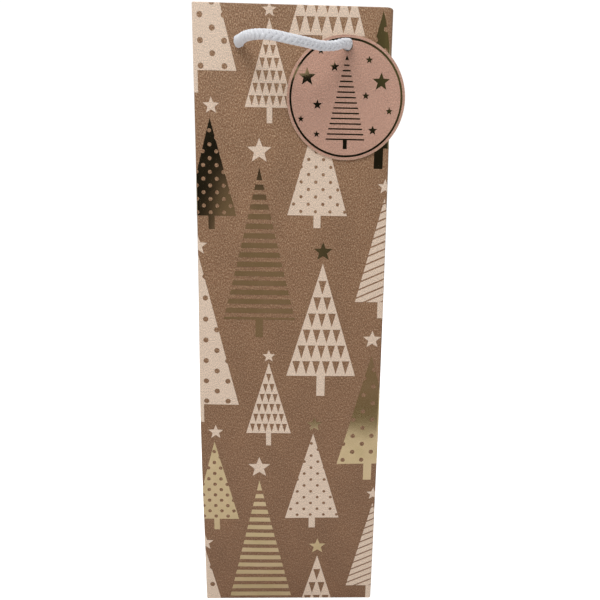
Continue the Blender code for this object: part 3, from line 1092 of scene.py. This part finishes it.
def pennant_cone(half_width, height, rows):
    """A cone of small upright triangles, with gaps between them like hanging pennants."""
    step = height / rows
    pitch = 2.0 * half_width / rows
    bm = ink_strip((-half_width, 0.0), (half_width, height))
    trim_to_cone(bm, half_width, height)
    gaps = []
    for k in range(1, rows):
        top = height - k * step - 0.05 * step
        for i in range(k):
            across = (i - (k - 1) / 2.0) * pitch
            gaps.append((across, top, 0.39 * pitch, 0.84 * step))
    edge = half_width + pitch
    bmesh.ops.delete(bm, geom=bm.faces[:], context="FACES_ONLY")
    for across, top, half_gap, drop in gaps:
        made = bmesh.ops.create_circle(bm, segments=3, radius=1.0)["verts"]
        made.sort(key=lambda vertex: (vertex.co.x, vertex.co.y))
        made[0].co = (across - half_gap, top, 0.0)
        made[1].co = (across, top - drop, 0.0)
        made[2].co = (across + half_gap, top, 0.0)
    bmesh.ops.triangle_fill(bm, use_beauty=True, edges=bm.edges[:])
    return bm


def striped_cone(half_width, height, tip, stripe, pitch):
    """A cone cut into level stripes under a solid tip. The lowest stripe is thinner."""
    bm = ink_strip((-half_width, height - tip), (half_width, height))
    top = height - tip - (pitch - stripe)
    while top > 0.0:
        bottom = max(top - stripe, 0.0)
        join_into(bm, ink_strip((-half_width, bottom), (half_width, top)))
        top -= pitch
    trim_to_cone(bm, half_width, height)
    return bm


def slanted_cone(half_width, height, pitch, line, rise):
    """A cone slit by thin rising lines."""
    bm = ink_strip((-half_width, 0.0), (half_width, height))
    trim_to_cone(bm, half_width, height)
    ahead = Vector((math.cos(rise), math.sin(rise), 0.0))
    across = Vector((-ahead.y, ahead.x, 0.0))
    cuts = []
    for k in range(-8, int(height / pitch) + 8):
        middle = Vector((0.0, k * pitch, 0.0))
        cuts += [middle - across * line / 2.0, middle + across * line / 2.0]
    for cut in cuts:
        bmesh.ops.bisect_plane(bm, geom=whole(bm), dist=1e-7, plane_co=cut, plane_no=across)
    slits = []
    for face in bm.faces:
        along = face.calc_center_median().dot(across) / (pitch * math.cos(rise))
        if abs(along - round(along)) * pitch * math.cos(rise) < line / 2.0:
            slits.append(face)
    bmesh.ops.delete(bm, geom=slits, context="FACES")
    return bm


def star(radius, waist=0.43):
    """A five-pointed star, one point up: a ring of ten whose every other corner is pulled in."""
    bm = bmesh.new()
    ring = bmesh.ops.create_circle(bm, cap_ends=True, segments=10, radius=radius)["verts"]
    for vertex in ring:
        turn = math.atan2(vertex.co.x, vertex.co.y)
        if round(turn / (math.pi / 5.0)) % 2:
            vertex.co *= waist
    bmesh.ops.triangulate(bm, faces=bm.faces[:])
    return bm


def place_flat(bm, across, up):
    """Moves flat ink to its place on the sheet."""
    bmesh.ops.translate(bm, vec=(across, up, 0.0), verts=bm.verts[:])
    return bm


# %% [markdown]
# ## The repeat
#
# Eight trees make one repeat, 132 mm wide and 190.5 mm high. Three repeats go exactly once round
# the bag, so the pattern meets itself at the seam. Each tree stands on its own axis and has its own
# trunk and star. Five are cream, three are gold foil, and two of the stars over cream trees are
# foil as well.

# %% Trees of one repeat
REPEAT_ROUND = ROUND / 3.0
REPEAT_UP = 190.5 * MM


def mm(*sizes):
    """Sizes in millimetres as metres."""
    return tuple(size * MM for size in sizes)


BIG_DOTS = dotted_cone(*mm(23.0, 91.0, 1.6, 6.4, 6.35, 3.8, 2.2))
SMALL_PENNANTS = pennant_cone(*mm(13.5, 45.0), 7)
BIG_PENNANTS = pennant_cone(*mm(20.5, 68.0), 7)
FOIL_DOTS = dotted_cone(*mm(19.2, 70.5, 1.4, 5.75, 5.35, -3.95, 2.7))
SMALL_FOIL_DOTS = dotted_cone(*mm(14.1, 53.0, 1.15, 3.75, 3.7, -0.4, 1.9))
FOIL_STRIPES = striped_cone(*mm(20.8, 87.0, 6.8, 2.95, 5.45))
FINE_DOTS = dotted_cone(*mm(17.0, 58.0, 0.95, 4.15, 4.1, -1.0, 2.2))
SLANTED_LINES = slanted_cone(*mm(15.3, 60.0, 4.4, 0.85), math.radians(24.0))

TREES = (  # cone, its ink, axis, base, half trunk, trunk drop, star ink, star axis, height, radius
    (BIG_DOTS, "cream", -53.7, 135.6, 2.1, 11.5, "cream", -53.7, 231.7, 5.5),
    (SMALL_PENNANTS, "cream", -12.9, 117.3, 1.5, 8.2, "cream", -12.9, 166.5, 3.9),
    (BIG_PENNANTS, "cream", 18.0, 154.5, 2.45, 12.6, "foil", 18.0, 229.2, 5.6),
    (FOIL_DOTS, "foil", 48.1, 96.8, 2.5, 11.0, "cream", 48.1, 177.2, 5.6),
    (SMALL_FOIL_DOTS, "foil", -45.7, 58.3, 1.75, 7.5, "cream", -44.8, 117.6, 4.7),
    (FOIL_STRIPES, "foil", -18.6, -1.7, 2.2, 10.6, "cream", -18.6, 94.2, 7.0),
    (FINE_DOTS, "cream", 14.2, 59.3, 2.0, 7.0, "foil", 14.8, 123.2, 4.7),
    (SLANTED_LINES, "cream", 52.5, 9.6, 2.0, 9.7, "cream", 52.5, 76.0, 4.4),
)

repeat = {"cream": [], "foil": []}
for cone, ink, axis, base_line, trunk, drop, star_ink, star_axis, star_up, star_size in TREES:
    axis, base_line, trunk, drop = mm(axis, base_line, trunk, drop)
    repeat[ink].append(place_flat(cone, axis, base_line))
    repeat[ink].append(ink_strip((axis - trunk, base_line - drop), (axis + trunk, base_line)))
    repeat[star_ink].append(place_flat(star(star_size * MM), *mm(star_axis, star_up)))
print("one repeat", {ink: sum(len(bm.faces) for bm in parts) for ink, parts in repeat.items()}, "faces")


# %% [markdown]
# ## Laying the ink on the sheet
#
# Every shape of the repeat is copied to each of its places, trimmed to the sheet, cut along the
# same lines as the paper and folded with it, a few hundredths of a millimetre proud. What runs
# past the bottom edge is trimmed to the flaps and folded under with them. The ink then gets a
# thickness of its own, so that it is a closed film.

# %% Laying and folding ink
INK_LIFT = 0.07 * MM
INK_FILM = 0.05 * MM


def box_of(bm):
    """The lowest and highest x and y of flat ink."""
    xs = [vertex.co.x for vertex in bm.verts]
    ys = [vertex.co.y for vertex in bm.verts]
    return min(xs), max(xs), min(ys), max(ys)


def cut_along(bm, across, up):
    """Cuts flat ink along the grid lines that cross it."""
    low_x, high_x, low_y, high_y = box_of(bm)
    for line in across:
        if low_x < line < high_x:
            bmesh.ops.bisect_plane(
                bm, geom=whole(bm), dist=1e-8, plane_co=(line, 0.0, 0.0), plane_no=(1.0, 0.0, 0.0)
            )
    for line in up:
        if low_y < line < high_y:
            bmesh.ops.bisect_plane(
                bm, geom=whole(bm), dist=1e-8, plane_co=(0.0, line, 0.0), plane_no=(0.0, 1.0, 0.0)
            )


def trimmed_copy(part, shift, edges):
    """A moved copy of flat ink, trimmed by lines given as a place and the way out."""
    copy = part.copy()
    bmesh.ops.translate(copy, vec=shift, verts=copy.verts[:])
    for place, facing in edges:
        if not copy.faces:
            break
        trim(copy, place, facing)
    return copy


def lay_ink(bm, part, shift):
    """Lays one shape at one place on the sheet and folds it up with the bag."""
    low_x, high_x, low_y, high_y = box_of(part)
    low_x, high_x = low_x + shift[0], high_x + shift[0]
    low_y, high_y = low_y + shift[1], high_y + shift[1]
    if high_x <= FOLDS[0] or low_x >= FOLDS[4] or low_y >= SHEET_TOP or high_y <= -FLAP_LENGTH:
        return
    ends = [((FOLDS[0], 0.0), (-1.0, 0.0)), ((FOLDS[4], 0.0), (1.0, 0.0))]
    if high_y > 0.0:
        edges = ends + [((0.0, SHEET_TOP), (0.0, 1.0)), ((0.0, 0.0), (0.0, -1.0))]
        above = trimmed_copy(part, shift, edges)
        if above.faces:
            cut_along(above, round_lines, up_lines)
            fold_up(above, None, INK_LIFT)
            join_into(bm, above)
    if low_y < 0.0:
        for wall in (LEFT, FRONT, RIGHT, BACK):
            low, high = FOLDS[wall], FOLDS[wall + 1]
            if high_x <= low or low_x >= high:
                continue
            lean = (HALF_WIDTH - FLAP_TIP) / FLAP_LENGTH if wall in (FRONT, BACK) else 0.0
            edges = [
                ((low, 0.0), (-1.0, -lean)), ((high, 0.0), (1.0, -lean)),
                ((0.0, 0.0), (0.0, 1.0)), ((0.0, -FLAP_LENGTH), (0.0, -1.0)),
            ]
            below = trimmed_copy(part, shift, edges)
            if below.faces:
                cut_along(below, round_lines, flap_lines)
                fold_up(below, wall, INK_LIFT)
                join_into(bm, below)


def print_ink(name, parts, material):
    """Lays every repeat of one ink and closes the film."""
    bm = bmesh.new()
    flat_layers(bm)
    for across in range(-1, 3):
        for up in range(-1, 3):
            for part in parts:
                lay_ink(bm, part, (across * REPEAT_ROUND, up * REPEAT_UP, 0.0))
    bmesh.ops.remove_doubles(bm, verts=bm.verts[:], dist=0.01 * MM)
    bmesh.ops.dissolve_degenerate(bm, edges=bm.edges[:], dist=0.005 * MM)
    bm.normal_update()
    thicken_folded(bm, INK_FILM - INK_LIFT)
    for part in parts:
        part.free()
    piece = finish_piece(name, bm, [material], crisp=60.0)
    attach(piece, "bag")
    return piece


print_ink("cream_print", repeat["cream"], CREAM_INK)
print_ink("foil_print", repeat["foil"], GOLD_FOIL)


# %% [markdown]
# ## The gift tag
#
# The tag is a die-cut disc of thick kraft card with a hole near its rim, strung on the cord. Foil is
# stamped on its face: a thin ring, a striped tree and a scatter of stars. The disc starts as a ring
# of points round its rim and another round its hole, filled between, and is given its thickness.
# A very slight curl keeps the card from looking like a sheet of steel.

# %% Tag
tag_low, tag_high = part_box("gift_tag")
TAG_RADIUS = (tag_high[0] - tag_low[0]) / 2.0
TAG_MIDDLE = Vector(((tag_low[0] + tag_high[0]) / 2.0, (tag_low[2] + tag_high[2]) / 2.0))
TAG_FACE = tag_low[1]
TAG_THICKNESS = tag_high[1] - tag_low[1]
TAG_HOLE = (0.0, HOLE_HEIGHT - TAG_MIDDLE.y)
TAG_HOLE_RADIUS = 3.0 * MM


def tag_place(x, z, lift=0.0):
    """Where a point of the flat tag is, x across and z up from its middle."""
    curl = 0.5 * MM * (x / TAG_RADIUS) ** 2 * (1.0 if x > 0 else 0.6)
    return Vector((TAG_MIDDLE.x + x, TAG_FACE - curl - lift, TAG_MIDDLE.y + z))


def put_on_tag(bm, lift=0.0):
    """Records each vertex's place on the flat tag, then puts it on the hanging tag."""
    layer = bm.verts.layers.float_vector.get("sheet") or bm.verts.layers.float_vector.new("sheet")
    for vertex in bm.verts:
        x, z = vertex.co.x, vertex.co.y
        vertex[layer] = (x, z, 0.0)
        vertex.co = tag_place(x, z, lift)
    bm.normal_update()
    for face in bm.faces:
        if face.normal.y > 0.0:
            face.normal_flip()


def thicken_on_tag(bm, depth):
    """Gives the tag or its foil its other side, at that depth behind the tag's face."""
    layer = bm.verts.layers.float_vector["sheet"]
    thicken(bm, lambda vertex: tag_place(vertex[layer][0], vertex[layer][1], -depth))


disc = bmesh.new()
bmesh.ops.create_circle(disc, segments=96, radius=TAG_RADIUS)
bmesh.ops.create_circle(
    disc, segments=32, radius=TAG_HOLE_RADIUS, matrix=Matrix.Translation((*TAG_HOLE, 0.0))
)
bmesh.ops.triangle_fill(disc, use_beauty=True, edges=disc.edges[:])
tag_lines = spread(-TAG_RADIUS, TAG_RADIUS, 6 * MM)
cut_along(disc, tag_lines, tag_lines)
put_on_tag(disc)
thicken_on_tag(disc, TAG_THICKNESS)
for face in disc.faces:
    if abs(face.normal.y) < 0.7:
        face.material_index = 1
tag_rim = [e for e in disc.edges if e.is_manifold and e.calc_face_angle() > 1.0]
bmesh.ops.bevel(
    disc, geom=tag_rim, offset=0.12 * MM, segments=2, profile=0.5, affect="EDGES", material=1
)
tag_disc = finish_piece("tag_disc", disc, [TAG_CARD, TAG_EDGE])
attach(tag_disc, "tag")
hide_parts("gift_tag")


# %% Tag foil
RING_RADIUS = 30.4 * MM
RING_LINE = 1.1 * MM
TAG_STARS = (  # across, up, radius
    (-21.4, 10.6, 4.9), (19.0, 8.9, 4.9), (-6.6, 16.1, 2.7), (-15.6, -3.5, 2.7),
    (15.2, -16.4, 2.7), (12.1, 19.9, 2.1), (10.8, 1.6, 2.1), (23.9, -6.2, 2.1),
    (-24.5, -11.1, 1.9), (-15.8, -18.9, 1.9), (-14.1, 24.0, 2.0),
)


def tag_ring():
    """The thin ring round the tag's face."""
    bm = bmesh.new()
    bmesh.ops.create_circle(bm, segments=96, radius=RING_RADIUS - RING_LINE / 2.0)
    bmesh.ops.create_circle(bm, segments=96, radius=RING_RADIUS + RING_LINE / 2.0)
    bmesh.ops.bridge_loops(bm, edges=bm.edges[:])
    return bm


def tag_tree():
    """The tag's tree: a small solid tip, fifteen thin stripes and a trunk."""
    bm = ink_strip(mm(-1.0, 19.6), mm(1.0, 22.2))
    trim(bm, mm(0.0, 22.2), mm(2.6, 0.95))
    trim(bm, mm(0.0, 22.2), mm(-2.6, 0.95))
    stripes = 15
    for i in range(stripes):
        up = 17.0 - 38.4 * i / (stripes - 1)
        half = 1.5 + 9.2 * i / (stripes - 1)
        join_into(bm, ink_strip(mm(-half, up - 0.38), mm(half, up + 0.38)))
    join_into(bm, ink_strip(mm(-1.1, -26.5), mm(1.1, -21.8)))
    return bm


tag_art = tag_ring()
join_into(tag_art, tag_tree())
for across, up, radius in TAG_STARS:
    join_into(tag_art, place_flat(star(radius * MM), *mm(across, up)))
cut_along(tag_art, tag_lines, tag_lines)
put_on_tag(tag_art, 0.06 * MM)
thicken_on_tag(tag_art, -0.01 * MM)
tag_foil = finish_piece("tag_foil", tag_art, [TAG_FOIL], crisp=60.0)
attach(tag_foil, "tag")


# %% [markdown]
# ## Floor and light
#
# The bag stands on a plain pale floor in a pale room. A broad soft lamp above and in front lights
# the top of the bag more than its base. The world is white to the lens and a quiet grey to
# everything else, which keeps the shadows soft.

# %% Floor and lamps
floor_bm = bmesh.new()
bmesh.ops.create_grid(floor_bm, x_segments=8, y_segments=8, size=4.0)
floor_material = bpy.data.materials.new("pale floor")
floor_material.use_nodes = True
floor_tree = floor_material.node_tree
floor_shader = floor_tree.nodes["Principled BSDF"]
floor_noise = stretched_noise(floor_tree, object_place(floor_tree), (9, 9, 9))
floor_tree.links.new(
    mix_colour(floor_tree, floor_noise, (0.86, 0.86, 0.86, 1.0), (0.9, 0.9, 0.9, 1.0)),
    floor_shader.inputs["Base Color"],
)
floor_shader.inputs["Roughness"].default_value = 0.9
floor_shader.inputs["Emission Color"].default_value = (1.0, 1.0, 1.0, 1.0)
to_lens_only = add_node(floor_tree, "ShaderNodeLightPath").outputs["Is Camera Ray"]
floor_tree.links.new(
    math_node(floor_tree, "MULTIPLY", to_lens_only, 0.7), floor_shader.inputs["Emission Strength"]
)
floor = finish_piece("floor", floor_bm, [floor_material])


def lamp(name, place, target, size, power, colour=(1.0, 1.0, 1.0)):
    """A square soft lamp that looks at a point."""
    data = bpy.data.lights.new(name, "AREA")
    data.shape = "RECTANGLE"
    data.size, data.size_y = size
    data.energy = power
    data.color = colour
    thing = bpy.data.objects.new(name, data)
    bpy.context.scene.collection.objects.link(thing)
    thing.location = place
    thing.rotation_euler = (Vector(target) - Vector(place)).to_track_quat("-Z", "Y").to_euler()
    return thing


lamp("key", (-0.35, -0.75, 1.05), (0.0, 0.0, 0.25), (0.7, 0.7), 6.5)
lamp("top", (0.2, 0.2, 1.6), (0.0, 0.0, 0.0), (1.2, 1.2), 9.0)

# %% [markdown]
# ## A flag for the foil
#
# Bright metal shows whatever stands in front of it. A photographer keeps it from glaring with a dark
# card beside the lens. This one glows and is seen only by reflections, so it darkens no paper and
# stays out of every picture: it is a painted reflection for the foil. It is nearly black high up, a
# middle tone below, and dimmer on the right, painted in zones to give the foil its dark and pale
# reflections. Each zone is one ramp across the card times one ramp up it.

# %% Dark flag
FLAG_OUT = 0.30
FLAG_WIDTH = 1.4
FLAG_HEIGHT = 0.90
LEFT_ZONE_EDGE = 0.080  # further left than this, the black comes down lower
LEFT_ZONE_SLOPE = 3.4
MIDDLE_TONE = (0.285, 0.234, 0.20, 1.0)
RIGHT_TONE = (0.075, 0.078, 0.055, 1.0)
LOW_RIGHT_TONE = (0.19, 0.165, 0.11, 1.0)
NEAR_BLACK = (0.010, 0.011, 0.010, 1.0)
TOP_RIGHT_TONE = (0.15, 0.15, 0.10, 1.0)

flag_bm = bmesh.new()
bmesh.ops.create_grid(flag_bm, x_segments=1, y_segments=1, size=0.5)
for vertex in flag_bm.verts:
    vertex.co = (vertex.co.x * FLAG_WIDTH, -FLAG_OUT, (vertex.co.y + 0.5) * FLAG_HEIGHT)
flag_material = bpy.data.materials.new("dark flag")
flag_material.use_nodes = True
flag_tree = flag_material.node_tree
flag_place = add_node(flag_tree, "ShaderNodeSeparateXYZ")
flag_tree.links.new(object_place(flag_tree), flag_place.inputs[0])


def flag_zone(across, up):
    """A mask that rises over two distances across the card and over two heights up it."""
    across_ramp = ramp(flag_tree, flag_place.outputs["X"], *across)
    return math_node(
        flag_tree, "MULTIPLY", across_ramp, ramp(flag_tree, flag_place.outputs["Z"], *up)
    )


past_edge = math_node(flag_tree, "ADD", flag_place.outputs["X"], LEFT_ZONE_EDGE)
past_edge = math_node(flag_tree, "MINIMUM", past_edge, 0.0)
drop_left = math_node(flag_tree, "MULTIPLY", past_edge, -LEFT_ZONE_SLOPE)
slanted_height = math_node(flag_tree, "ADD", flag_place.outputs["Z"], drop_left)
high_up = ramp(flag_tree, slanted_height, 0.264, 0.308)
painted_reflection_tone = mix_colour(flag_tree, flag_zone((0.0, 0.03), (0.16, 0.20)), MIDDLE_TONE, RIGHT_TONE)
low_right = flag_zone((0.0, 0.02), (0.020, 0.050, 1.0, 0.0))
painted_reflection_tone = mix_colour(flag_tree, low_right, painted_reflection_tone, LOW_RIGHT_TONE)
painted_reflection_tone = mix_colour(flag_tree, high_up, painted_reflection_tone, NEAR_BLACK)
top_right = flag_zone((0.055, 0.090), (0.32, 0.40))
painted_reflection_tone = mix_colour(flag_tree, top_right, painted_reflection_tone, TOP_RIGHT_TONE)
# The card's painted zones glow, so the foil shows them as a painted reflection.
flag_glow = add_node(flag_tree, "ShaderNodeEmission")
flag_tree.links.new(painted_reflection_tone, flag_glow.inputs["Color"])
flag_tree.links.new(flag_glow.outputs[0], flag_tree.nodes["Material Output"].inputs["Surface"])
flag = finish_piece("flag", flag_bm, [flag_material])
flag.visible_camera = False
flag.visible_diffuse = False
flag.visible_shadow = False


# %% World
world = bpy.data.worlds.new("pale room")
world.use_nodes = True
world_tree = world.node_tree
room = world_tree.nodes["Background"]
room.inputs["Color"].default_value = (0.95, 0.97, 1.0, 1.0)
room.inputs["Strength"].default_value = 0.44
seen = add_node(world_tree, "ShaderNodeBackground")
seen.inputs["Color"].default_value = (1.0, 1.0, 1.0, 1.0)
seen.inputs["Strength"].default_value = 1.05
to_lens = add_node(world_tree, "ShaderNodeLightPath")
choose = add_node(world_tree, "ShaderNodeMixShader")
world_tree.links.new(to_lens.outputs["Is Camera Ray"], choose.inputs[0])
world_tree.links.new(room.outputs[0], choose.inputs[1])
world_tree.links.new(seen.outputs[0], choose.inputs[2])
world_tree.links.new(choose.outputs[0], world_tree.nodes["World Output"].inputs["Surface"])
bpy.context.scene.world = world
bpy.context.scene.view_settings.view_transform = "Standard"
